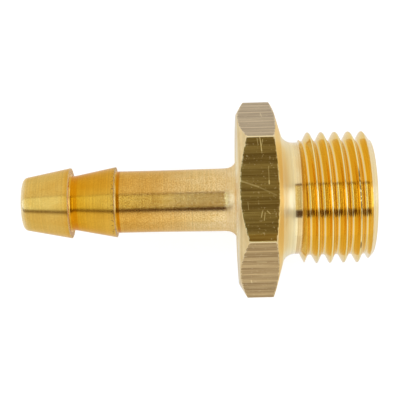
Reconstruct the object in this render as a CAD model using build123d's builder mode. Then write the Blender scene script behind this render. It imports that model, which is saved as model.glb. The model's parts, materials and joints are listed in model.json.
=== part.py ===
from build123d import *

import math
import os

# A hose tail turned from one length of hexagon brass bar, lying on one flat.
# X runs along its axis: the hose goes on at the low end, the thread is at the high end.
# The origin is on the axis, in the plane of the hexagon's corners on the thread side.
# Flats of the hexagon face up and down. Lengths are in millimetres, angles in degrees.

# The bar, and the hexagon left on it for a spanner
across_flats = 17.0
arris_radius = 0.15
hexagon_width = 3.35
back_chamfer_circle = 16.9
back_chamfer_angle = 30.0
shoulder_angle = 16.5

# The tail that the hose is pushed on to
tail_length = 21.25
nose_length = 0.68
nose_radius = 0.45
barb_count = 2
barb_spacing = 4.5
barb_diameter = 7.0
barb_taper_length = 3.98
barb_land = 0.07
neck_diameter = 5.44
neck_fillet = 0.15
stem_diameter = 6.14
stem_straight_length = 4.4
stem_root_diameter = 6.3
stem_fillet = 1.1

# The G 1/4 pipe thread, right-handed, and the relief groove behind it
thread_projection = 9.8
thread_length = 7.12
thread_diameter = 13.05
thread_pitch = 1.337
thread_angle = 55.0
thread_depth = 0.64 * thread_pitch
thread_crest = thread_pitch / 12
end_chamfer = 0.75
relief_diameter = 11.1
relief_fillet = 1.2

# The waterway
bore_diameter = 4.0
mouth_chamfer = 0.5
nose_edge_break = 0.1

# Stations along the axis
hexagon_back = -hexagon_width
nose = hexagon_back - tail_length
mouth = thread_projection
relief_wall = mouth - thread_length

# Radii
corner_radius = across_flats / 2 / math.cos(math.radians(30))
barb_radius = barb_diameter / 2
neck_radius = neck_diameter / 2
stem_radius = stem_diameter / 2
relief_radius = relief_diameter / 2
thread_radius = thread_diameter / 2


def slope(angle):
    """Run over rise of a line at this angle from a plane across the axis."""
    return math.tan(math.radians(angle))


def tail_outline():
    """Points and corner radii from the nose to the back face of the hexagon."""
    taper = (barb_radius - neck_radius) / barb_taper_length
    points = [(nose, neck_radius - taper * nose_length)]
    radii = [nose_radius]
    for barb in range(barb_count):
        crest = nose + nose_length + barb_taper_length + barb * barb_spacing
        step = crest + barb_land
        behind = stem_radius if barb == barb_count - 1 else neck_radius
        if barb > 0:
            points.append((crest - barb_taper_length, neck_radius))
            radii.append(0)
        points += [(crest, barb_radius), (step, barb_radius), (step, behind)]
        radii += [0, 0, neck_fillet]
    points += [
        (crest + stem_straight_length, stem_radius),
        (hexagon_back, stem_root_diameter / 2),
        (hexagon_back, back_chamfer_circle / 2),
    ]
    radii += [0, stem_fillet, 0]
    return points, radii


def front_outline():
    """Points and corner radii from the hexagon's corners to the threaded end."""
    chamfer_rise = corner_radius - back_chamfer_circle / 2
    shoulder_rise = corner_radius - relief_radius
    wall_rise = thread_radius - relief_radius
    points = [
        (hexagon_back + chamfer_rise * slope(back_chamfer_angle), corner_radius),
        (0, corner_radius),
        (shoulder_rise * slope(shoulder_angle), relief_radius),
        (relief_wall, relief_radius),
        (relief_wall + wall_rise * slope(thread_angle / 2), thread_radius),
        (mouth - end_chamfer, thread_radius),
        (mouth, thread_radius - end_chamfer),
    ]
    radii = [0, 0, relief_fillet, 0, 0, 0, 0]
    return points, radii


# The round-bottomed helical groove that leaves the thread standing between its turns.
# It starts in the relief, at the top, and runs out past the end face.
flank = slope(thread_angle / 2)
clearance = 0.05
groove_height = thread_depth + clearance
groove_half_width = (thread_pitch - thread_crest) / 2 + clearance * flank
sharp_depth = groove_half_width / flank - groove_height
root_radius = sharp_depth / (1 / math.sin(math.radians(thread_angle / 2)) - 1)
groove_start = relief_wall - thread_pitch / 2

with BuildPart() as thread_groove:
    with BuildLine() as groove_path:
        Helix(
            pitch=thread_pitch,
            height=mouth + thread_pitch - groove_start,
            radius=thread_radius - thread_depth,
            center=(groove_start, 0, 0),
            direction=(1, 0, 0),
        )
    axial_plane = Plane(origin=groove_path.line @ 0, x_dir=(1, 0, 0), z_dir=(0, -1, 0))
    with BuildSketch(axial_plane) as groove_section:
        with BuildLine():
            flanks = FilletPolyline(
                (-groove_half_width, groove_height),
                (0, -sharp_depth),
                (groove_half_width, groove_height),
                radius=root_radius,
            )
            Line(flanks @ 0, flanks @ 1)
        make_face()
    sweep(path=groove_path.line, is_frenet=True)

with BuildPart() as hose_tail:
    # The bar
    with BuildSketch(Plane.YZ.offset(nose)) as bar_section:
        RegularPolygon(radius=across_flats / 2, side_count=6, major_radius=False)
    extrude(amount=mouth - nose)
    fillet(hose_tail.edges().filter_by(Axis.X), arris_radius)

    # Everything that is turned round
    tail_points, tail_radii = tail_outline()
    front_points, front_radii = front_outline()
    with BuildSketch(Plane.XZ) as turned_outline:
        with BuildLine():
            FilletPolyline(
                [(mouth, 0), (nose, 0)] + tail_points + front_points,
                radius=[0, 0] + tail_radii + front_radii,
                close=True,
            )
        make_face()
    revolve(axis=Axis.X, mode=Mode.INTERSECT)

    # The bore, right through, with its two edges broken
    with BuildSketch(Plane.YZ.offset(nose)) as bore_section:
        Circle(bore_diameter / 2)
    extrude(amount=mouth - nose, mode=Mode.SUBTRACT)
    nose_face, *_, mouth_face = hose_tail.faces().filter_by(GeomType.PLANE).sort_by(Axis.X)
    chamfer(nose_face.edges().sort_by(SortBy.RADIUS)[0], nose_edge_break)
    chamfer(mouth_face.edges().sort_by(SortBy.RADIUS)[0], mouth_chamfer)

    # The thread
    add(thread_groove.part, mode=Mode.SUBTRACT)

hose_tail.part.label = "hose_tail"

os.makedirs("parts", exist_ok=True)
export_step(hose_tail.part, "parts/hose_tail.step")
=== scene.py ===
"""The looks of the brass hose tail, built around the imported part.

Lengths are in millimetres and angles in degrees until a mesh or the camera is placed, in metres.
"""

import json
import math
from typing import NamedTuple

import bpy
import numpy as np
from mathutils import Matrix, Vector


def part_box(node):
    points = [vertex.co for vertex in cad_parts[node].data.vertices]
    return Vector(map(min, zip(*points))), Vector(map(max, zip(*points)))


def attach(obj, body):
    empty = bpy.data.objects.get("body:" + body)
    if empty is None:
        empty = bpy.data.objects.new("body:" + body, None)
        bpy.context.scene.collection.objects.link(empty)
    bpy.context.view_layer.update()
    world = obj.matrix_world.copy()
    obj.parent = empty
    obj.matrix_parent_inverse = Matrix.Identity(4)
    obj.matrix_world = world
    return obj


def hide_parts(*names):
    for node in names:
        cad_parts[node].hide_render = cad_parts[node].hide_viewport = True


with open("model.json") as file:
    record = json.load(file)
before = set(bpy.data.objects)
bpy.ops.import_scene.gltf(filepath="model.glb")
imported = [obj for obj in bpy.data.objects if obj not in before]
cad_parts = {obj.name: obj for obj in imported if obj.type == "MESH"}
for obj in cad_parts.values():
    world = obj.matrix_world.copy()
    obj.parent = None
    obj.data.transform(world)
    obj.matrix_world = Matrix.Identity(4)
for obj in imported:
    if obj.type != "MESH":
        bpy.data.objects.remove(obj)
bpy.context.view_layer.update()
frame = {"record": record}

MM = 0.001
TAIL_NODE = "hose_tail"
low_corner, high_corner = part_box(TAIL_NODE)

# ---- Stations and sizes that the frame gives ----
NOSE = low_corner.x / MM
MOUTH = high_corner.x / MM
HALF_FLATS = high_corner.z / MM
BORE_RADIUS = next(m["dims"]["r_mm"] for m in frame["record"]["mounts"] if m["name"] == "bore")

# ---- The turned outline, as in the part's source ----
HEX_WIDTH = 3.35
ARRIS_RADIUS = 0.15
BACK_CHAMFER_RADIUS = 8.45
BACK_CHAMFER_ANGLE = 30.0
SHOULDER_ANGLE = 16.5
HEX_EDGE_BREAK = 0.05

NOSE_LENGTH = 0.68
NOSE_ROUND = 0.45
BARB_COUNT = 2
BARB_SPACING = 4.5
BARB_RADIUS = 3.5
BARB_TAPER = 3.98
BARB_LAND = 0.07
BARB_EDGE_BREAK = 0.03
NECK_RADIUS = 2.72
NECK_FILLET = 0.15
NECK_BLEND = 0.3
STEM_RADIUS = 3.07
STEM_STRAIGHT = 4.4
STEM_ROOT_RADIUS = 3.15
STEM_FILLET = 1.1
STEM_BLEND = 6.0

THREAD_LENGTH = 7.12
THREAD_RADIUS = 6.525
PITCH = 1.337
HALF_THREAD_ANGLE = 27.5
THREAD_DEPTH = 0.64 * PITCH
CREST_WIDTH = PITCH / 12
CREST_STATION = 2.68
END_CHAMFER = 0.75
RELIEF_RADIUS = 5.55
RELIEF_FILLET = 1.2
WALL_FILLET = 0.08
MOUTH_CHAMFER = 0.5
NOSE_EDGE_BREAK = 0.1
EDGE_BREAK = 0.05

# ---- How fine the mesh is. The arris columns are shares of an arris's half width ----
COLUMNS_A_SIDE = 24
ARRIS_COLUMNS = (-1, -0.67, -0.33, 0.33, 0.67, 1)
ARC_STEPS = 6
THREAD_STEP = PITCH / 54
WALL_STEP = THREAD_STEP * 2
CHAMFER_STEP = THREAD_STEP * 1.41
COARSE_STEP = 0.35
BORE_STEP = 1.5
SHARP_ANGLE = 28.0

SIDES = 6
SIDE_ANGLE = math.radians(60)
HALF_SIDE = math.radians(30)
HEX_BACK = -HEX_WIDTH
RELIEF_WALL = MOUTH - THREAD_LENGTH
CORNER_RADIUS = HALF_FLATS / math.cos(HALF_SIDE)
ARRIS_CENTRE = (HALF_FLATS - ARRIS_RADIUS) / math.cos(HALF_SIDE)
BARB_CRESTS = [NOSE + NOSE_LENGTH + BARB_TAPER + barb * BARB_SPACING for barb in range(BARB_COUNT)]
STEPS = [crest + BARB_LAND for crest in BARB_CRESTS]

# Material slots of the mesh, in order
TAIL, FACES, FLATS, THREAD, BORE = range(5)


def slope(angle):
    """Run over rise of a line at this angle from a plane across the axis."""
    return math.tan(math.radians(angle))


# ---------------------------------------------------------------- the mesh

def column_turns():
    """Angles of the mesh's columns from +Z towards +Y, closer together over the arrises."""
    reach = math.atan2(ARRIS_RADIUS / 2, ARRIS_CENTRE + ARRIS_RADIUS * math.cos(HALF_SIDE))
    side = SIDE_ANGLE / COLUMNS_A_SIDE * np.arange(COLUMNS_A_SIDE)
    arris = HALF_SIDE + reach * np.array(ARRIS_COLUMNS)
    sector = np.concatenate([side, arris])
    return np.sort(np.concatenate([sector + SIDE_ANGLE * n for n in range(SIDES)]))


def hexagon_radius(turns):
    """How far the hexagon's surface is from the axis at each angle."""
    from_corner = np.abs(turns % SIDE_ANGLE - HALF_SIDE)
    flat = HALF_FLATS / np.cos(HALF_SIDE - from_corner)
    inside = np.maximum(ARRIS_RADIUS ** 2 - (ARRIS_CENTRE * np.sin(from_corner)) ** 2, 0)
    rounded = ARRIS_CENTRE * np.cos(from_corner) + np.sqrt(inside)
    return np.where(inside > 0, np.minimum(flat, rounded), flat)


def thread_form(x, turns):
    """Radius of the right-handed thread's rounded form at each station and angle."""
    half = math.radians(HALF_THREAD_ANGLE)
    sharp_crest = CREST_WIDTH / 2 / math.tan(half)
    crest_round = sharp_crest / (1 / math.sin(half) - 1)
    sharp_root = (PITCH - CREST_WIDTH) / 2 / math.tan(half) - THREAD_DEPTH
    root_round = sharp_root / (1 / math.sin(half) - 1)
    phase = (x - CREST_STATION) / PITCH + turns / (2 * np.pi)
    off_crest = np.abs(phase - np.round(phase)) * PITCH
    off_root = PITCH / 2 - off_crest
    flank = THREAD_RADIUS + sharp_crest - off_crest / math.tan(half)
    crest = THREAD_RADIUS - crest_round + np.sqrt(np.maximum(crest_round ** 2 - off_crest ** 2, 0))
    root = THREAD_RADIUS - THREAD_DEPTH + root_round - np.sqrt(
        np.maximum(root_round ** 2 - off_root ** 2, 0))
    crested = np.where(off_crest < crest_round * math.cos(half), crest, flank)
    return np.where(off_root < root_round * math.cos(half), root, crested)


class Corner(NamedTuple):
    """A corner of the turned outline, and the stretch that runs on from it.

    round_slot is the slot of the corner's own round, where that isn't the slot before it."""
    x: float
    radius: float
    round: float = 0.0
    slot: int = TAIL
    step: float = COARSE_STEP
    round_slot: int | None = None


def tail_corners():
    """Corners from the nose to the hexagon's back face."""
    taper = (BARB_RADIUS - NECK_RADIUS) / BARB_TAPER
    corners = [Corner(NOSE, BORE_RADIUS + NOSE_EDGE_BREAK),
               Corner(NOSE, NECK_RADIUS - taper * NOSE_LENGTH, NOSE_ROUND)]
    for barb, (crest, step) in enumerate(zip(BARB_CRESTS, STEPS)):
        behind = STEM_RADIUS if barb == BARB_COUNT - 1 else NECK_RADIUS
        if barb:
            corners.append(Corner(crest - BARB_TAPER, NECK_RADIUS, NECK_BLEND))
        corners += [Corner(crest, BARB_RADIUS, BARB_EDGE_BREAK),
                    Corner(step, BARB_RADIUS, BARB_EDGE_BREAK),
                    Corner(step, behind, NECK_FILLET)]
    corners += [Corner(BARB_CRESTS[-1] + STEM_STRAIGHT, STEM_RADIUS, STEM_BLEND),
                Corner(HEX_BACK, STEM_ROOT_RADIUS, STEM_FILLET, FACES)]
    return corners


def hexagon_corners(radius):
    """Corners of the hexagon, where radius is its surface's, an array over the columns."""
    chamfered = HEX_BACK + (radius - BACK_CHAMFER_RADIUS) * slope(BACK_CHAMFER_ANGLE)
    shoulder = (CORNER_RADIUS - radius) * slope(SHOULDER_ANGLE)
    return [Corner(HEX_BACK, BACK_CHAMFER_RADIUS, slot=FACES),
            Corner(chamfered, radius, HEX_EDGE_BREAK, FLATS, round_slot=FACES),
            Corner(shoulder, radius, HEX_EDGE_BREAK, FACES, round_slot=FACES)]


def front_corners():
    """Corners from the relief groove, over the thread and back through the bore to the nose."""
    relief = (CORNER_RADIUS - RELIEF_RADIUS) * slope(SHOULDER_ANGLE)
    wall = RELIEF_WALL + (THREAD_RADIUS - RELIEF_RADIUS) * slope(HALF_THREAD_ANGLE)
    return [Corner(relief, RELIEF_RADIUS, RELIEF_FILLET, FACES),
            Corner(RELIEF_WALL, RELIEF_RADIUS, WALL_FILLET, THREAD, WALL_STEP),
            Corner(wall, THREAD_RADIUS, 0, THREAD, THREAD_STEP),
            Corner(MOUTH - END_CHAMFER, THREAD_RADIUS, 0, FACES, CHAMFER_STEP),
            Corner(MOUTH, THREAD_RADIUS - END_CHAMFER, EDGE_BREAK, FACES),
            Corner(MOUTH, BORE_RADIUS + MOUTH_CHAMFER, EDGE_BREAK, FACES),
            Corner(MOUTH - MOUTH_CHAMFER, BORE_RADIUS, EDGE_BREAK, BORE, BORE_STEP),
            Corner(NOSE + NOSE_EDGE_BREAK, BORE_RADIUS)]


def unit(v):
    """v with length 1, for every column."""
    return v / np.linalg.norm(v, axis=1, keepdims=True)


def rounded_corner(before, corner, after, radius):
    """The points of the round at a corner of the outline, for every column."""
    if radius == 0:
        return [corner]
    a, b = unit(before - corner), unit(after - corner)
    opening = np.arccos(np.clip((a * b).sum(1, keepdims=True), -1, 1))
    tangent = radius / np.tan(opening / 2)
    centre = corner + unit(a + b) * radius / np.sin(opening / 2)
    start, end = corner + a * tangent - centre, corner + b * tangent - centre
    sweep = np.pi - opening
    return [centre + (np.sin((1 - s) * sweep) * start + np.sin(s * sweep) * end) / np.sin(sweep)
            for s in np.linspace(0, 1, ARC_STEPS + 1)]


def outline_rings(corners, count):
    """The outline's points and the slot of the face after each.

    A point is an array of (x, radius) over the columns."""
    places = [np.stack([np.broadcast_to(c.x, count), np.broadcast_to(c.radius, count)], 1)
              for c in corners]
    rings, slots = [], []
    for i, corner in enumerate(corners):
        run = corners[i - 1]
        after = places[(i + 1) % len(places)]
        arc = rounded_corner(places[i - 1], places[i], after, corner.round)
        if rings:
            start, gap = rings[-1], arc[0] - rings[-1]
            parts = max(1, math.ceil(np.linalg.norm(gap, axis=1).max() / run.step))
            rings += [start + gap * n / parts for n in range(1, parts)]
            slots += [run.slot] * (parts - 1)
        rings += arc
        round_slot = run.slot if corner.round_slot is None else corner.round_slot
        slots += [round_slot] * (len(arc) - 1) + [corner.slot]
    return rings, slots


def ring_faces(ring_count, column_count):
    """Four-sided faces between each ring and the next, closed both ways."""
    ring = np.arange(ring_count)[:, None] * column_count
    next_ring = np.roll(ring, -1, axis=0)
    column = np.arange(column_count)[None, :]
    next_column = np.roll(column, -1, axis=1)
    return np.stack([ring + column, next_ring + column,
                     next_ring + next_column, ring + next_column], -1).reshape(-1, 4)


def tail_mesh():
    """The whole tail as one closed surface of rings and columns."""
    turns = column_turns()
    corners = tail_corners() + hexagon_corners(hexagon_radius(turns)) + front_corners()
    rings, slots = outline_rings(corners, len(turns))
    x, radius = np.moveaxis(np.stack(rings), -1, 0)
    threaded = np.minimum(radius, thread_form(x, turns))
    radius = np.where(x > RELIEF_WALL, threaded, radius)
    vertices = np.stack([x, radius * np.sin(turns), radius * np.cos(turns)], -1).reshape(-1, 3) * MM

    mesh = bpy.data.meshes.new("tail_of_brass")
    mesh.from_pydata(vertices.tolist(), [], ring_faces(*x.shape).tolist())
    mesh.polygons.foreach_set("material_index", np.repeat(slots, len(turns)).astype(np.int32))
    mesh.shade_smooth()
    mesh.set_sharp_from_angle(angle=math.radians(SHARP_ANGLE))
    mesh.update()
    return mesh


# ---------------------------------------------------------------- node helpers

class Nodes:
    """Short ways to add nodes to one tree."""

    def __init__(self, tree):
        self.tree = tree

    def add(self, kind, inputs=(), **settings):
        """A node with these inputs, each a value or another node's output, and settings."""
        node = self.tree.nodes.new(kind)
        for key, value in settings.items():
            setattr(node, key, value)
        for key, value in dict(inputs).items():
            if isinstance(value, bpy.types.NodeSocket):
                self.tree.links.new(value, node.inputs[key])
            else:
                node.inputs[key].default_value = value
        return node

    def math(self, operation, a, b=0.0, c=0.0, clamp=False):
        node = self.add("ShaderNodeMath", {0: a, 1: b, 2: c}, operation=operation, use_clamp=clamp)
        return node.outputs[0]

    def times(self, a, b):
        return self.math("MULTIPLY", a, b)

    def total(self, start, parts):
        """start plus each part's value times its share, where parts are (value, share) pairs."""
        for value, share in parts:
            start = self.math("MULTIPLY_ADD", value, share, start)
        return start

    def smooth(self, value, start, end, low=0.0, high=1.0, linear=False):
        """low before start, high after end, and smooth between. end may come before start."""
        node = self.add("ShaderNodeMapRange", {0: value, 1: start, 2: end, 3: low, 4: high},
                        interpolation_type="LINEAR" if linear else "SMOOTHSTEP")
        return node.outputs[0]

    def band(self, value, centre, half_width, edge):
        """1 within half_width of centre and 0 outside, with soft edges."""
        off = self.math("ABSOLUTE", self.math("SUBTRACT", value, centre))
        return self.smooth(off, half_width - edge, half_width + edge, 1.0, 0.0)

    def mix(self, share, a, b, blend="MIX"):
        """Colour a with this share of b. With blend MULTIPLY, the share of a times b."""
        node = self.add("ShaderNodeMix", data_type="RGBA", blend_type=blend)
        for index, value in ((0, share), (6, a), (7, b)):
            if isinstance(value, bpy.types.NodeSocket):
                self.tree.links.new(value, node.inputs[index])
            else:
                node.inputs[index].default_value = value if index == 0 else (*value, 1.0)
        return node.outputs[2]

    def vector(self, x, y, z):
        return self.add("ShaderNodeCombineXYZ", {0: x, 1: y, 2: z}).outputs[0]

    def dot(self, a, b):
        node = self.add("ShaderNodeVectorMath", {0: a, 1: b}, operation="DOT_PRODUCT")
        return node.outputs["Value"]

    def noise(self, vector, scale, detail, roughness):
        node = self.add("ShaderNodeTexNoise", {"Vector": vector, "Scale": scale, "Detail": detail,
                                               "Roughness": roughness})
        return node.outputs[0]


def new_material(name):
    """An empty material, and its nodes."""
    material = bpy.data.materials.new(name)
    material.use_nodes = True
    material.node_tree.nodes.clear()
    return material, Nodes(material.node_tree)


class Place(NamedTuple):
    """Where a shaded point is in the part, in millimetres, with its turn about the axis.

    The turn is in radians, from +Z towards +Y."""
    point: bpy.types.NodeSocket
    x: bpy.types.NodeSocket
    y: bpy.types.NodeSocket
    z: bpy.types.NodeSocket
    radius: bpy.types.NodeSocket
    turn: bpy.types.NodeSocket


def place_in_part(n):
    metres = n.add("ShaderNodeTexCoord").outputs["Object"]
    point = n.add("ShaderNodeVectorMath", {0: metres, 3: 1 / MM}, operation="SCALE").outputs[0]
    x, y, z = n.add("ShaderNodeSeparateXYZ", {0: point}).outputs
    radius = n.math("SQRT", n.math("ADD", n.times(y, y), n.times(z, z)))
    return Place(point, x, y, z, radius, n.math("ARCTAN2", y, z))


# ---------------------------------------------------------------- what the metals share

# Fine lines: how far the noise wanders in one turn, its detail and its roughness
LINE_WANDER = 0.3
LINE_NOISE = (3.0, 0.65)
# Where the lines' noise counts as low and as high, and the shades of both
LINE_RANGE = (0.3, 0.7)
LINE_SHADES = (0.92, 1.05)
TOOL_DEPTH = 0.004
# A quarter turn, which lays the spread reflections along the axis
GROOVE_ROTATION = 0.25


def turning_lines(n, across, turn, pitch, wander=LINE_WANDER):
    """Noise drawn out round the axis: the fine lines that a tool leaves. across runs over them."""
    around = [n.times(n.math(way, turn), wander) for way in ("SINE", "COSINE")]
    return n.noise(n.vector(n.math("DIVIDE", across, pitch), *around), 1.0, *LINE_NOISE)


def tone_along(n, x, tones):
    """A colour that changes along x through the given tones."""
    start, end = tones[0][0], tones[-1][0]
    ramp = n.add("ShaderNodeValToRGB", {0: n.smooth(x, start, end, linear=True)})
    stops = ramp.color_ramp.elements
    while len(stops) < len(tones):
        stops.new(0.5)
    for stop, (station, tone) in zip(stops, tones):
        stop.position = (station - start) / (end - start)
        stop.color = (*tone, 1)
    return ramp.outputs[0]


def lined(n, colour, lines, dark=LINE_SHADES[0], light=LINE_SHADES[1]):
    """colour with the fine lines' shades."""
    shades = n.mix(n.smooth(lines, *LINE_RANGE), (dark,) * 3, (light,) * 3)
    return n.mix(1.0, colour, shades, "MULTIPLY")


def finish_metal(n, colour, roughness, heights, depth=TOOL_DEPTH, grooved=0.0, tint=None):
    """A metal surface with this colour and roughness; heights are (pattern, share) pairs.

    grooved spreads reflections across the turned grooves, which run round the axis.
    tint is the colour of reflections at a grazing angle."""
    bump = n.add("ShaderNodeBump", {"Height": n.total(0.0, heights), "Strength": 1.0,
                                    "Distance": depth * MM})
    shader = n.add("ShaderNodeBsdfPrincipled", {"Base Color": colour, "Metallic": 1.0,
                                                "Roughness": roughness, "Normal": bump.outputs[0]})
    if grooved:
        around = n.add("ShaderNodeTangent", direction_type="RADIAL", axis="X")
        shader.inputs["Anisotropic"].default_value = grooved
        shader.inputs["Anisotropic Rotation"].default_value = GROOVE_ROTATION
        n.tree.links.new(around.outputs[0], shader.inputs["Tangent"])
    if tint is not None:
        n.tree.links.new(tint, shader.inputs["Specular Tint"])
    n.add("ShaderNodeOutputMaterial", {"Surface": shader.outputs[0]})


# ---------------------------------------------------------------- the barbs and the stem

# A painted highlight: the pale tone on the nose's rounded edge
NOSE_EDGE_HIGHLIGHT = (0.93, 0.79, 0.50)
# Tones along the tail: station, tone. The deepest orange, just behind each step, is a painted
# reflection of brass in brass in the corner there
TAIL_TONES = [
    (NOSE, NOSE_EDGE_HIGHLIGHT),
    (-24.4, (0.88, 0.68, 0.33)),
    (-24.1, (0.73, 0.47, 0.12)),
    (-23.6, (0.71, 0.44, 0.085)),
    (-20.4, (0.71, 0.42, 0.075)),
    (-19.5, (0.70, 0.31, 0.006)),
    (-19.1, (0.71, 0.33, 0.01)),
    (-18.0, (0.71, 0.36, 0.025)),
    (-15.6, (0.71, 0.39, 0.045)),
    (-15.2, (0.69, 0.36, 0.05)),
    (-11.0, (0.71, 0.40, 0.085)),
    (-7.5, (0.77, 0.52, 0.18)),
    (-4.2, (0.82, 0.58, 0.24)),
    (HEX_BACK, (0.84, 0.62, 0.27)),
]

# Changes below are (from, to), and bands are (centre, half width, soft edge)
# Painted shade: a deeper tone over the second barb's upper side
PAINTED_SHADE_SIDE = (0.2, 1.4)
PAINTED_SHADE_ALONG = (-17.4, 2.1, 1.2)
PAINTED_SHADE_TONE = (0.93, 0.82, 0.5)

# Behind each step, the orange of a painted reflection of brass in brass: where it starts, how far
# it reaches and from what share it fades
ORANGE_START = (0.08, 0.2)
ORANGE_REACH = (0.9, 0.5)
ORANGE_FADE = 0.8
ORANGE_REFLECTION_TONES = (0.67, 0.25, 0.003), (0.57, 0.20, 0.002)
# The step's rim, its face and the foot of it, from the step's own station
RIM_ALONG = (-0.02, 0.05, 0.01)
RIM_RADII = (3.43, 3.45)
# The rim's darker tone is a painted shade that tones down the highlight on its round
RIM_SHADE_TONE = (0.64, 0.42, 0.12)
FACE_ALONG = (0.0, 0.04, 0.01)
FACE_RADII = (3.17, 0.27, 0.02)
FOOT_ALONG = (0.05, 0.08, 0.02)
FOOT_RADII = (3.25, 3.2)
# Tones of the foot and the face in the middle, and away from it: paler in the middle band, a
# painted highlight, and the face greyer at the top and bottom, a painted shade
OFF_MIDDLE = (0.9, 1.5)
FOOT_HIGHLIGHT_TONES = (0.88, 0.58, 0.13), (0.71, 0.37, 0.025)
FACE_HIGHLIGHT_TONES = (1.0, 0.84, 0.45), (0.96, 0.74, 0.32)
FACE_ENDS = (2.5, 2.9)
FACE_END_SHADE_TONE = (0.82, 0.66, 0.44)
FACE_GRAZING_TINT = (0.90, 0.55, 0.15)
GRAZING_TINT = (1.0, 0.92, 0.78)
FACE_ROUGHER = 0.5

# Dark specks on the second crest, and the one tool line on the stem
SPECK_NOISE = (7.0, 2.0, 0.6)
SPECK_RANGE = (0.56, 0.62)
SPECK_RADII = (3.44, 3.47)
SPECK_ALONG = (0.4, 0.1)
SPECK_TONE = (0.16, 0.09, 0.03)
TOOL_LINE = (-7.8, 0.04, 0.03)
TOOL_LINE_SHARE = 0.12

# The stem's sandy grain, which takes over from the barbs' lines. Shares, heights and roughness
# are each given on the barbs and then on the stem
STEM_FROM = (-15.2, -14.6)
TAIL_LINE_PITCH = 0.10
GRAIN_NOISE = (8.0, 3.0, 0.8)
GRAIN_RANGE = (0.35, 0.65)
GRAIN_TONES = (0.84, 0.77, 0.62), (1.07, 1.12, 1.35)
GRAIN_SHARES = (0.4, 1.0)
GRAIN_HEIGHTS = (0.4, 1.7)
LINE_HEIGHTS = (1.0, 0.25)
TAIL_ROUGHNESS = (0.2, 0.15)
PATCH_NOISE = (0.8, 2.0, 0.5)
PATCH_STRETCH = 0.5
PATCH_RANGE = (0.35, 0.65)
PATCH_TONE = (1.04, 1.09, 1.25)

# The stem's threaded half is a little smoother, and its fillet is rougher and without grain
POLISHED = (-11.0, -8.0)
POLISHED_ROUGHER = -0.03
FILLET_FROM = (-4.75, -4.35)
FILLET_ROUGHER = 0.19
FILLET_FLAT = (-4.6, -4.1)
FILLET_HEIGHTS = (1.0, 0.1)
FILLET_RADII = (3.52, 3.8)
# The fillet wall's paler tone is painted light, lifting the darker reflection of the stem there
FILLET_PAINTED_LIGHT = (1.0, 0.87, 0.54)
FILLET_WALL_ROUGHER = 0.3


def at_step(n, x, step, band):
    """1 in a band that is given from a step's own station."""
    offset, half_width, edge = band
    return n.band(x, step + offset, half_width, edge)


def barb_steps(n, at, colour):
    """colour with the painted light round the barbs' steps: a reflected orange behind each, a
    darker rim, the foot and face paler in the middle band and the face greyer at its ends; and a
    mask of the steps' faces.
    """
    faces, high = 0.0, n.math("ABSOLUTE", at.y)
    off_middle = n.smooth(high, *OFF_MIDDLE)
    painted_foot_tone = n.mix(off_middle, *FOOT_HIGHLIGHT_TONES)
    painted_face_tone = n.mix(n.smooth(high, *FACE_ENDS), n.mix(off_middle, *FACE_HIGHLIGHT_TONES), FACE_END_SHADE_TONE)
    for step, reach, orange in zip(STEPS, ORANGE_REACH, ORANGE_REFLECTION_TONES):
        starts = n.smooth(at.x, *(step + start for start in ORANGE_START))
        fades = n.smooth(at.x, step + reach * ORANGE_FADE, step + reach, 1.0, 0.0)
        rim = n.times(at_step(n, at.x, step, RIM_ALONG), n.smooth(at.radius, *RIM_RADII))
        foot = n.times(at_step(n, at.x, step, FOOT_ALONG), n.smooth(at.radius, *FOOT_RADII))
        face = n.times(at_step(n, at.x, step, FACE_ALONG), n.band(at.radius, *FACE_RADII))
        for mask, tone in ((n.times(starts, fades), orange), (rim, RIM_SHADE_TONE),
                           (foot, painted_foot_tone), (face, painted_face_tone)):
            colour = n.mix(mask, colour, tone)
        faces = n.math("MAXIMUM", faces, face)
    return colour, faces


def crest_specks(n, at, colour):
    """colour with the specks on the second barb's crest and the line on the stem."""
    specks = n.smooth(n.noise(n.vector(at.x, at.y, at.z), *SPECK_NOISE), *SPECK_RANGE)
    on_crest = n.times(n.smooth(at.radius, *SPECK_RADII), n.band(at.x, STEPS[1], *SPECK_ALONG))
    colour = n.mix(n.times(specks, on_crest), colour, SPECK_TONE)
    return n.mix(n.times(n.band(at.x, *TOOL_LINE), TOOL_LINE_SHARE), colour, SPECK_TONE)


def sandy_tones(n, at, colour, grain):
    """colour with the grain's shades, and broad paler patches."""
    patch = n.noise(n.vector(n.times(at.x, PATCH_STRETCH), at.y, at.z), *PATCH_NOISE)
    colour = n.mix(n.smooth(patch, *PATCH_RANGE), colour, PATCH_TONE, "MULTIPLY")
    sand = n.mix(n.smooth(grain, *GRAIN_RANGE), *GRAIN_TONES)
    return n.mix(n.smooth(at.x, *STEM_FROM, *GRAIN_SHARES), colour, sand, "MULTIPLY")


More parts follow.
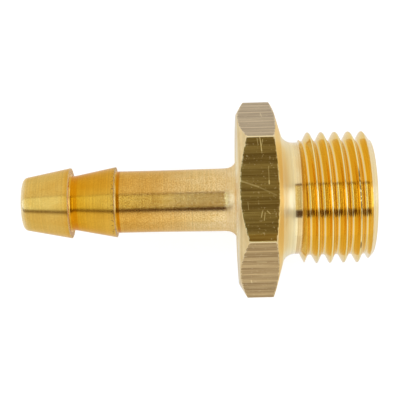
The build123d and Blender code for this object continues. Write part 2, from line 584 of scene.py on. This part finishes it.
def tail_brass():
    """The turned barbs and stem: fine lines on the barbs, a sandy grain on the stem."""
    material, n = new_material("brass_tail")
    at = place_in_part(n)
    lines = turning_lines(n, at.x, at.turn, TAIL_LINE_PITCH)
    grain = n.noise(n.vector(at.x, at.y, at.z), *GRAIN_NOISE)
    fillet_wall = n.smooth(at.radius, *FILLET_RADII)

    # Painted shade over the second barb's upper side
    painted_shade = n.times(n.smooth(at.y, *PAINTED_SHADE_SIDE), n.band(at.x, *PAINTED_SHADE_ALONG))
    colour = n.mix(painted_shade, tone_along(n, at.x, TAIL_TONES), PAINTED_SHADE_TONE, "MULTIPLY")
    colour, faces = barb_steps(n, at, colour)
    colour = n.mix(fillet_wall, colour, FILLET_PAINTED_LIGHT)
    colour = lined(n, crest_specks(n, at, colour), lines)
    colour = sandy_tones(n, at, colour, grain)

    roughness = n.total(n.smooth(at.x, *STEM_FROM, *TAIL_ROUGHNESS),
                        [(fillet_wall, FILLET_WALL_ROUGHER),
                         (n.smooth(at.x, *POLISHED), POLISHED_ROUGHER),
                         (n.smooth(at.x, *FILLET_FROM), FILLET_ROUGHER),
                         (faces, FACE_ROUGHER)])
    off_fillet = n.smooth(at.x, *FILLET_FLAT, *FILLET_HEIGHTS)
    heights = [(pattern, n.times(n.smooth(at.x, *STEM_FROM, *shares), off_fillet))
               for pattern, shares in ((lines, LINE_HEIGHTS), (grain, GRAIN_HEIGHTS))]
    finish_metal(n, colour, roughness, heights, tint=n.mix(faces, GRAZING_TINT, FACE_GRAZING_TINT))
    return material


# ---------------------------------------------------------------- the turned faces

FACE_LINE_PITCH = 0.13
BLOTCH_NOISE = (0.9, 2.0, 0.5)
BLOTCH_RANGE = (0.35, 0.7)
BLOTCH_TONES = (0.88, 0.69, 0.36), (0.84, 0.62, 0.29)
# The relief groove's fillet, and its lower side, which is painted paler: a painted highlight
RELIEF_START = (0.4, 0.9)
RELIEF_END = (2.3, 2.0)
RELIEF_TONE = (0.93, 0.76, 0.41)
RELIEF_LOW = (-0.8, -2.5)
RELIEF_LOW_HIGHLIGHT = (0.97, 0.84, 0.50)
CHAMFER_FROM = (8.8, 9.0)
CHAMFER_TONE = (0.90, 0.71, 0.38)
# The cone on the hexagon's front, and its deeper yellow: a painted reflection of brass in brass
CONE_START = (0.0, 0.2)
CONE_END = (2.0, 1.0)
CONE_RADII = (7.0, 7.3)
CONE_REFLECTION_TONE = (0.88, 0.60, 0.18)
# Brown along the turning lines in the groove's cylinder: the lines are the turning, the brown on
# them a painted reflection of dark streaks
GROOVE_FROM = (1.9, 2.3)
GROOVE_RADII = (5.7, 5.9)
STREAK_PITCH = 0.11
STREAK_WANDER = 0.5
STREAK_RANGE = (0.48, 0.6)
STREAK_SHARE = 0.6
STREAK_REFLECTION_TONE = (0.62, 0.38, 0.12)
# The hexagon's back face: pale near the stem, painted light over the darker reflection of the stem
# there, and browner outside
BACK_FROM = (HEX_BACK + 0.01, HEX_BACK - 0.01)
BACK_TONES = [((3.4, 3.9), (1.0, 0.90, 0.62)),
              ((5.5, 6.5), (0.76, 0.57, 0.28))]
FACE_ROUGHNESS = (0.37, 0.16)
CYLINDER_FROM = (1.85, 2.1)
BACK_ROUGHER_FROM = (-3.2, -3.5)
BACK_ROUGHER = 0.1
FACE_GROOVED = 0.95


def relief_tones(n, at, colour):
    """colour with the tones of the relief groove's fillet and the end chamfer, and a painted
    highlight on the fillet's lower side.
    """
    relief = n.times(n.smooth(at.x, *RELIEF_START), n.smooth(at.x, *RELIEF_END))
    colour = n.mix(relief, colour, RELIEF_TONE)
    colour = n.mix(n.smooth(at.x, *CHAMFER_FROM), colour, CHAMFER_TONE)
    return n.mix(n.times(relief, n.smooth(at.y, *RELIEF_LOW)), colour, RELIEF_LOW_HIGHLIGHT)


def cone_and_groove_tones(n, at, colour):
    """colour with painted reflections: the deeper yellow on the hexagon's cone, and brown streaks
    in the groove.
    """
    cone = n.times(n.smooth(at.x, *CONE_START), n.smooth(at.radius, *CONE_RADII))
    colour = n.mix(n.times(cone, n.smooth(at.x, *CONE_END)), colour, CONE_REFLECTION_TONE)
    streaks = turning_lines(n, at.x, at.turn, STREAK_PITCH, STREAK_WANDER)
    groove = n.times(n.smooth(at.x, *GROOVE_FROM), n.smooth(at.radius, *GROOVE_RADII, 1.0, 0.0))
    groove = n.times(groove, n.smooth(streaks, *STREAK_RANGE, 0.0, STREAK_SHARE))
    return n.mix(groove, colour, STREAK_REFLECTION_TONE)


def face_brass():
    """The turned faces, chamfers, fillets and relief groove."""
    material, n = new_material("brass_faces")
    at = place_in_part(n)
    lines = turning_lines(n, n.math("SUBTRACT", at.radius, at.x), at.turn, FACE_LINE_PITCH)
    blotch = n.noise(n.vector(at.x, at.y, at.z), *BLOTCH_NOISE)

    colour = relief_tones(n, at, n.mix(n.smooth(blotch, *BLOTCH_RANGE), *BLOTCH_TONES))
    colour = cone_and_groove_tones(n, at, lined(n, colour, lines))
    behind = n.smooth(at.x, *BACK_FROM)
    for radii, tone in BACK_TONES:
        colour = n.mix(n.times(behind, n.smooth(at.radius, *radii)), colour, tone)

    roughness = n.total(n.smooth(at.x, *CYLINDER_FROM, *FACE_ROUGHNESS),
                        [(n.smooth(at.x, *BACK_ROUGHER_FROM), BACK_ROUGHER)])
    finish_metal(n, colour, roughness, [(lines, 1.0)], grooved=FACE_GROOVED)
    return material


# ---------------------------------------------------------------- the hexagon's flats

SKIN_DARK = (0.30, 0.20, 0.09)
SKIN_MID = (0.52, 0.38, 0.20)
SKIN_PALE = (0.80, 0.64, 0.38)
# Each flat's tone, by which flat it is: the top flat darker, the lower flat yellower, the top
# flat's lower edge lighter
TOP_FLAT_DARKER = (0.52, 0.48, 0.27)
LOWER_FLAT_YELLOWER = (1.0, 0.93, 0.78)
TOP_FLAT_EDGE_LIGHTER = (1.35, 1.25, 1.0)
SCRATCH_BRASS = (0.95, 0.78, 0.40)
ARRIS_BRASS = (0.92, 0.76, 0.44)

# Draw lines: scale along the bar, scale over it
BROAD_LINES = (0.05, 2.4)
FINE_LINES = (0.16, 12.0)
DRAWN_NOISE = (3.0, 0.7)
BROAD_RANGE = (0.35, 0.65)
FINE_PALE = (0.5, 0.7)
FINE_DARK = (0.48, 0.32)
FINE_SHARE = 0.7
# Where the top flat, the lower flat and the top flat's lower edge start
ON_TOP = (8.3, 8.4)
ON_LOWER = (-4.7, -4.9)
ON_EDGE = (-4.10, -4.20)
SPOT_NOISE = (5.0, 2.0, 0.6)
SPOT_RANGE = (0.63, 0.7)
SPOT_SHARE = 0.4
# Pale flecks beside the rims, how far they reach in
RIM_REACH = (0.08, 0.16)
FLECK_NOISE = (2.6, 3.0, 0.7)
FLECK_RANGE = (0.48, 0.56)
FLECK_SHARE = 0.8
# The arrises, as angles from the middle of a flat
ARRIS_FROM = (math.radians(29.3), math.radians(29.7))
FLAT_ROUGHNESS = 0.28
SKIN_HEIGHTS = (1.0, 0.6)
SKIN_DEPTH = 0.008
# A scratch is full to half of its half width, and gone at one and a half
SCRATCH_FADE = (0.5, 1.5)
# Scratches on the flats: start, end, half width, share
SCRATCHES = [
    ((-1.36, 4.85, 8.5), (-1.20, 3.5, 8.5), 0.035, 0.8),
    ((-1.10, 4.6, 8.5), (-1.22, 4.0, 8.5), 0.03, 0.5),
    ((-1.62, 4.7, 8.5), (-1.52, 4.1, 8.5), 0.03, 0.4),
    ((-3.27, 0.80, 8.5), (-1.60, 0.20, 8.5), 0.07, 0.28),
    ((-1.60, 0.20, 8.5), (0.02, -0.60, 8.5), 0.06, 0.15),
    ((-0.62, 2.1, 8.5), (-0.60, 0.5, 8.5), 0.03, 0.35),
    ((-0.60, 0.75, 8.5), (-0.60, 0.45, 8.5), 0.05, 0.7),
    ((-1.30, -2.1, 8.5), (-1.40, -2.6, 8.5), 0.04, 0.55),
    ((-1.05, -2.2, 8.5), (-1.15, -2.9, 8.5), 0.035, 0.5),
    ((-0.85, -2.05, 8.5), (-0.60, -2.3, 8.5), 0.045, 0.5),
    ((-2.60, -1.2, 8.5), (-2.55, -1.9, 8.5), 0.03, 0.3),
    ((-0.98, 8.13, 2.91), (-0.90, 7.6, 3.84), 0.03, 0.5),
    ((-1.80, -6.55, 5.66), (-0.90, -6.58, 5.61), 0.04, 0.55),
    ((-2.30, -8.15, 2.88), (-2.20, -8.41, 2.43), 0.04, 0.6),
]


def scratch_mask(n, point, start, end, half_width):
    """1 on a scratch between two places in the part, in millimetres."""
    start, run = Vector(start), Vector(end) - Vector(start)
    off = n.add("ShaderNodeVectorMath", {0: point, 1: start}, operation="SUBTRACT").outputs[0]
    share = n.math("ADD", n.dot(off, run / run.length_squared), 0.0, clamp=True)
    nearest = n.add("ShaderNodeVectorMath", {0: tuple(run), 3: share}, operation="SCALE").outputs[0]
    gap = n.add("ShaderNodeVectorMath", {0: off, 1: nearest}, operation="DISTANCE").outputs["Value"]
    return n.smooth(gap, *(half_width * fade for fade in SCRATCH_FADE), 1.0, 0.0)


def drawn_lines(n, at, along, over):
    """Noise drawn out along the bar."""
    return n.noise(n.vector(n.times(at.x, along), n.times(at.y, over), n.times(at.z, over)),
                   1.0, *DRAWN_NOISE)


def drawn_skin(n, at, broad, fine):
    """The skin's tones: the draw lines, then the top flat darker, the lower flat yellower and the
    top flat's lower edge lighter, and the spots.
    """
    colour = n.mix(n.smooth(broad, *BROAD_RANGE), SKIN_DARK, SKIN_MID)
    colour = n.mix(n.smooth(fine, *FINE_PALE, 0.0, FINE_SHARE), colour, SKIN_PALE)
    colour = n.mix(n.smooth(fine, *FINE_DARK, 0.0, FINE_SHARE), colour, SKIN_DARK)
    on_top = n.smooth(at.z, *ON_TOP)
    for mask, by_flat in ((on_top, TOP_FLAT_DARKER), (n.smooth(at.y, *ON_LOWER), LOWER_FLAT_YELLOWER),
                        (n.times(on_top, n.smooth(at.y, *ON_EDGE)), TOP_FLAT_EDGE_LIGHTER)):
        colour = n.mix(mask, colour, by_flat, "MULTIPLY")
    spots = n.noise(n.vector(at.x, at.y, at.z), *SPOT_NOISE)
    return n.mix(n.smooth(spots, *SPOT_RANGE, 0.0, SPOT_SHARE), colour, SKIN_PALE)


def rim_flecks(n, at):
    """A mask of flecks beside the hexagon's back and front rims."""
    back, front = slope(BACK_CHAMFER_ANGLE), slope(SHOULDER_ANGLE)
    back_rim = n.math("MULTIPLY_ADD", at.radius, back, HEX_BACK - BACK_CHAMFER_RADIUS * back)
    front_rim = n.math("MULTIPLY_ADD", at.radius, -front, CORNER_RADIUS * front)
    off_rim = n.math("MINIMUM", n.math("SUBTRACT", at.x, back_rim),
                     n.math("SUBTRACT", front_rim, at.x))
    flecks = n.noise(n.vector(at.x, at.y, at.z), *FLECK_NOISE)
    return n.times(n.smooth(off_rim, *RIM_REACH, FLECK_SHARE, 0.0), n.smooth(flecks, *FLECK_RANGE))


def flat_brass():
    """The bar's own dull skin on the hexagon's flats, with draw lines and bright arrises."""
    material, n = new_material("brass_flats")
    at = place_in_part(n)
    broad, fine = drawn_lines(n, at, *BROAD_LINES), drawn_lines(n, at, *FINE_LINES)
    colour = drawn_skin(n, at, broad, fine)
    for start, end, half_width, share in SCRATCHES:
        scratch = n.times(scratch_mask(n, at.point, start, end, half_width), share)
        colour = n.mix(scratch, colour, SCRATCH_BRASS)
    colour = n.mix(rim_flecks(n, at), colour, SKIN_PALE)
    off_middle = n.math("PINGPONG", at.turn, HALF_SIDE)
    colour = n.mix(n.smooth(off_middle, *ARRIS_FROM), colour, ARRIS_BRASS)
    finish_metal(n, colour, FLAT_ROUGHNESS, zip((broad, fine), SKIN_HEIGHTS), SKIN_DEPTH)
    return material


# ---------------------------------------------------------------- the thread and the bore

THREAD_BRASS = (0.87, 0.58, 0.10)
# Painted highlights: the paler tones of the crest and the root
CREST_HIGHLIGHT_BRASS = (0.86, 0.70, 0.34)
ROOT_HIGHLIGHT_BRASS = (0.82, 0.60, 0.28)
# Pale lines on the crest and in the root, painted highlights: where they start, as heights from
# each
CREST_FROM = (-0.035, -0.01)
ROOT_FROM = (0.014, 0.002)
THREAD_LINE_PITCH = 0.12
THREAD_LINE_LEAN = 0.7
THREAD_LINE_SHADES = (0.93, 1.04)
THREAD_ROUGHNESS = 0.12
THREAD_TOOL_DEPTH = 0.001
# Dark burrs on the last turn's crest, in two bands of turn
BURR_NOISE = (2.5, 3.0, 0.7)
BURR_RANGE = (0.40, 0.46)
BURR_FROM = (7.4, 7.7)
BURR_TURNS = (0.0, 0.3, 0.08), (-0.9, 0.07, 0.03)
BURR_SHARE = 0.9
BORE_LINE_SHADES = (0.85, 1.0)
BORE_ROUGHNESS = 0.35


def burrs(n, at):
    """A mask of the burrs on the last turn of the thread."""
    ragged = n.smooth(n.noise(n.vector(at.x, at.y, at.z), *BURR_NOISE), *BURR_RANGE)
    bands = n.math("MAXIMUM", *(n.band(at.turn, *band) for band in BURR_TURNS))
    return n.times(ragged, n.times(bands, n.smooth(at.x, *BURR_FROM, 0.0, BURR_SHARE)))


def thread_brass():
    """The cut thread, brighter than the tail, with painted highlights that make it palest on its
    crest and root.
    """
    material, n = new_material("brass_thread")
    at = place_in_part(n)
    up_flank = n.math("SUBTRACT", at.radius, n.times(at.x, THREAD_LINE_LEAN))
    lines = turning_lines(n, up_flank, at.turn, THREAD_LINE_PITCH)
    crest = n.smooth(at.radius, *(THREAD_RADIUS + height for height in CREST_FROM))
    root = n.smooth(at.radius, *(THREAD_RADIUS - THREAD_DEPTH + height for height in ROOT_FROM))
    colour = n.mix(crest, n.mix(root, THREAD_BRASS, ROOT_HIGHLIGHT_BRASS), CREST_HIGHLIGHT_BRASS)
    colour = lined(n, colour, lines, *THREAD_LINE_SHADES)
    colour = n.mix(n.times(crest, burrs(n, at)), colour, SPECK_TONE)
    finish_metal(n, colour, THREAD_ROUGHNESS, [(lines, 1.0)], THREAD_TOOL_DEPTH)
    return material


def bore_brass():
    """The drilled bore."""
    material, n = new_material("brass_bore")
    at = place_in_part(n)
    lines = turning_lines(n, at.x, at.turn, THREAD_LINE_PITCH)
    colour = lined(n, THREAD_BRASS, lines, *BORE_LINE_SHADES)
    finish_metal(n, colour, BORE_ROUGHNESS, [(lines, 1.0)])
    return material


BRASS_BY_SLOT = {TAIL: tail_brass, FACES: face_brass, FLATS: flat_brass, THREAD: thread_brass,
                 BORE: bore_brass}


# ---------------------------------------------------------------- camera, light and floor

IMAGE_SIDE = 400
FOCAL_PIXELS = 1040.0
SENSOR = 36.0
CAMERA_DISTANCE = 103.8
AIM_X = -7.07
AIM_Y = 0.03
ELEVATION = 83.8
YAW = 0.6
ROLL = 1.25
CLIP_METRES = (0.005, 20)


def camera_axes():
    """The camera's right, up and backward directions."""
    e, yaw, roll = (math.radians(a) for a in (ELEVATION, YAW, ROLL))
    back = Vector((math.sin(yaw) * math.sin(e), -math.cos(e), math.cos(yaw) * math.sin(e)))
    level_right = Vector((math.cos(yaw), 0, -math.sin(yaw)))
    level_up = back.cross(level_right).normalized()
    level_right = level_up.cross(back)
    up = level_up * math.cos(roll) + level_right * math.sin(roll)
    return up.cross(back), up, back


def add_camera():
    """The camera that took the photo."""
    right, up, back = camera_axes()
    data = bpy.data.cameras.new("camera")
    data.sensor_width = SENSOR
    data.lens = FOCAL_PIXELS / IMAGE_SIDE * SENSOR
    data.clip_start, data.clip_end = CLIP_METRES
    camera = bpy.data.objects.new("camera", data)
    place = Vector((AIM_X, AIM_Y, 0)) * MM + back * CAMERA_DISTANCE * MM
    turned = Matrix((right, up, back)).transposed().to_4x4()
    camera.matrix_world = Matrix.Translation(place) @ turned
    bpy.context.scene.collection.objects.link(camera)
    bpy.context.scene.camera = camera


# The light tent, seen from the part: alpha is an angle about the part's axis from the camera,
# and beta an angle along the axis. Bands are (centre, half width, soft edge), and changes are
# (from, to).
WHITE = (1, 1, 1)
TENT_LEVEL = 0.95
# Two dark seams along the tent, as bands in alpha. The high one fades at the barbs
SEAM_TONE = (0.13, 0.055, 0.0)
SEAM_ALONG = (-24.0, 46.0, 6.0)
LOW_SEAM = (-32.0, 6.5, 3.0)
LOW_SEAM_SHARE = 0.92
HIGH_SEAM = (27.5, 2.2, 1.5)
HIGH_SEAM_FADE = (-28.0, -22.0)
HIGH_SEAM_SHARES = (0.45, 0.85)
# The low seam is deeper over the threaded end
DEEP_SEAM = (-32.0, 8.0, 2.5)
DEEP_SEAM_ALONG = (-3.3, -1.8)
DEEP_SEAM_TONE = (0.06, 0.022, 0.0)
# The opening for the lens, and the gap beside it
LENS_ABOUT = (1.0, 26.0, 2.0)
LENS_ALONG = (10.55, 15.45, 0.8)
GAP_ALONG = (-20.5, 4.5, 2.0)
LENS_TONES = (0.20, 0.10, 0.0), (0.80, 0.65, 0.26)
LENS_CHANGE = (-1.0, 3.0)
LOW_SIDE = (-45.0, -62.0)
LOW_SIDE_ALONG = (-14.0, -8.0)
LOW_SIDE_TONE = (1.09, 1.10, 1.10)
TOP_PANEL = (0.0, 25.0, 3.0)
# The panel overhead, brighter and cooler than the tent: from and to along the axis, and its tone
PANELS = [((-5.4, -6.6), (1.25, 1.17, 0.93)),
          ((-6.8, -8.4), (2.0, 2.7, 3.0)),
          ((-12.0, -16.0), (1.22, 1.38, 1.65)),
          ((-45.0, -65.0), (1.3, 1.5, 1.9)),
          ((28.0, 45.0), (2.1, 2.5, 3.6))]
# A lamp past the threaded end: from and to, as shares of the axis's direction, and its tone
END_LAMP = (0.965, 0.985), (1.5, 1.9, 2.9)


def panel_tones(n, along, alpha, beta):
    """The tent's colour with its panels, the lamp at the end, the lens and the low side."""
    colour, overhead = WHITE, n.band(alpha, *TOP_PANEL)
    for change, tone in PANELS:
        colour = n.mix(n.times(overhead, n.smooth(beta, *change)), colour, tone)
    change, tone = END_LAMP
    colour = n.mix(n.smooth(along, *change), colour, tone)
    dark = n.math("MAXIMUM", n.band(beta, *LENS_ALONG), n.band(beta, *GAP_ALONG))
    lens = n.mix(n.smooth(beta, *LENS_CHANGE), *LENS_TONES)
    colour = n.mix(n.times(n.band(alpha, *LENS_ABOUT), dark), colour, lens)
    low_side = n.times(n.smooth(alpha, *LOW_SIDE), n.smooth(beta, *LOW_SIDE_ALONG))
    return n.mix(low_side, colour, LOW_SIDE_TONE)


def seamed(n, colour, alpha, beta):
    """The tent's colour with its dark seams."""
    reach = n.band(beta, *SEAM_ALONG)
    high_share = n.smooth(beta, *HIGH_SEAM_FADE, *HIGH_SEAM_SHARES)
    for seam, share in ((LOW_SEAM, LOW_SEAM_SHARE), (HIGH_SEAM, high_share)):
        dark = n.times(n.times(n.band(alpha, *seam), reach), share)
        colour = n.mix(dark, colour, SEAM_TONE)
    deep = n.times(n.band(alpha, *DEEP_SEAM), n.smooth(beta, *DEEP_SEAM_ALONG))
    return n.mix(n.times(deep, reach), colour, DEEP_SEAM_TONE)


def add_tent():
    """White all round for the camera; for the brass, a tent with panels and dark seams."""
    world = bpy.data.worlds.new("tent")
    world.use_nodes = True
    world.node_tree.nodes.clear()
    bpy.context.scene.world = world
    n = Nodes(world.node_tree)
    toward = n.add("ShaderNodeTexCoord").outputs["Generated"]
    along, across, height = (n.dot(toward, axis) for axis in camera_axes())
    alpha = n.math("DEGREES", n.math("ARCTAN2", across, height))
    beta = n.math("DEGREES", n.math("ARCSINE", along))
    colour = seamed(n, panel_tones(n, along, alpha, beta), alpha, beta)
    seen = n.add("ShaderNodeLightPath").outputs["Is Camera Ray"]
    background = n.add("ShaderNodeBackground", {"Color": n.mix(seen, colour, WHITE),
                                                "Strength": n.math("MAXIMUM", seen, TENT_LEVEL)})
    n.add("ShaderNodeOutputWorld", {"Surface": background.outputs[0]})


FLOOR_REACH = 3.0
FLOOR_DROP = 0.02
# What the camera and reflections see of the floor: a dim tone that takes the shadow, and a
# glow, with a little more of it for the camera
FLOOR_TONE = (0.35, 0.35, 0.35, 1)
FLOOR_GLOW = 0.6
FLOOR_GLOW_SEEN = 0.2
# What all other light meets
FLOOR_PLAIN_TONE = (0.8, 0.8, 0.8, 1)


def white_floor():
    """A floor that shows white, and keeps a soft shadow."""
    material, n = new_material("white_floor")
    path = n.add("ShaderNodeLightPath").outputs
    camera, glossy = path["Is Camera Ray"], path["Is Glossy Ray"]
    dim = n.add("ShaderNodeBsdfDiffuse", {"Color": FLOOR_TONE})
    strength = n.math("MULTIPLY_ADD", camera, FLOOR_GLOW_SEEN, FLOOR_GLOW)
    glow = n.add("ShaderNodeEmission", {"Color": (*WHITE, 1), "Strength": strength})
    shown = n.add("ShaderNodeAddShader", {0: dim.outputs[0], 1: glow.outputs[0]})
    plain = n.add("ShaderNodeBsdfDiffuse", {"Color": FLOOR_PLAIN_TONE})
    mixed = n.add("ShaderNodeMixShader", {0: n.math("MAXIMUM", camera, glossy),
                                          1: plain.outputs[0], 2: shown.outputs[0]})
    n.add("ShaderNodeOutputMaterial", {"Surface": mixed.outputs[0]})
    return material


def add_floor():
    """A wide floor, just below the flat that the tail lies on."""
    reach, level = FLOOR_REACH, low_corner.z - FLOOR_DROP * MM
    mesh = bpy.data.meshes.new("floor")
    mesh.from_pydata([(-reach, -reach, level), (reach, -reach, level),
                      (reach, reach, level), (-reach, reach, level)], [], [(0, 1, 2, 3)])
    mesh.materials.append(white_floor())
    floor = bpy.data.objects.new("floor", mesh)
    bpy.context.scene.collection.objects.link(floor)


# ---------------------------------------------------------------- put together

tail = bpy.data.objects.new("hose_tail_turned", tail_mesh())
for slot in sorted(BRASS_BY_SLOT):
    tail.data.materials.append(BRASS_BY_SLOT[slot]())
bpy.context.scene.collection.objects.link(tail)
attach(tail, "root")
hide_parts(TAIL_NODE)

add_camera()
add_tent()
add_floor()
bpy.context.scene.view_settings.view_transform = "Standard"
